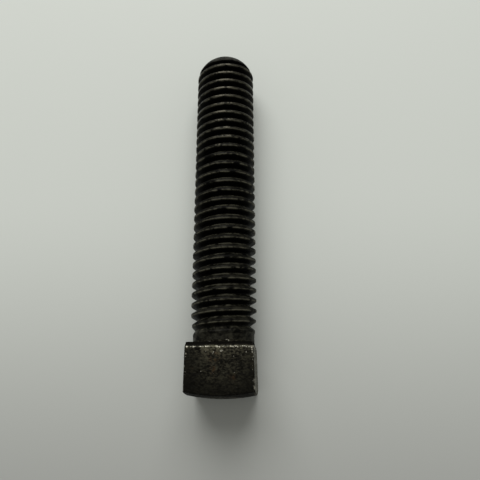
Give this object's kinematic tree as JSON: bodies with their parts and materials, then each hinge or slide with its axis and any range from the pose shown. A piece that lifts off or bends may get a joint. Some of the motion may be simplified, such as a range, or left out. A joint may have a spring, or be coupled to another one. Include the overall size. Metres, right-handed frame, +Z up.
{
  "type": "square head adjusting bolt",
  "caption": "Square head adjusting bolt, threaded right up to a short neck under the head, with a crowned head and a domed point that bears on the work.",
  "frame": {"origin": "on the shank's axis, in the plane of the head's bearing face", "axes": "+X along the shank towards the domed point, +Z up with one flat of the head lying on the floor"},
  "size_m": [0.0735, 0.0128, 0.0128],
  "materials": {
    "oiled_steel": "black oiled steel, edges worn bare"
  },
  "bodies": {
    "root": {"bolt": "oiled_steel"}
  },
  "joints": []
}
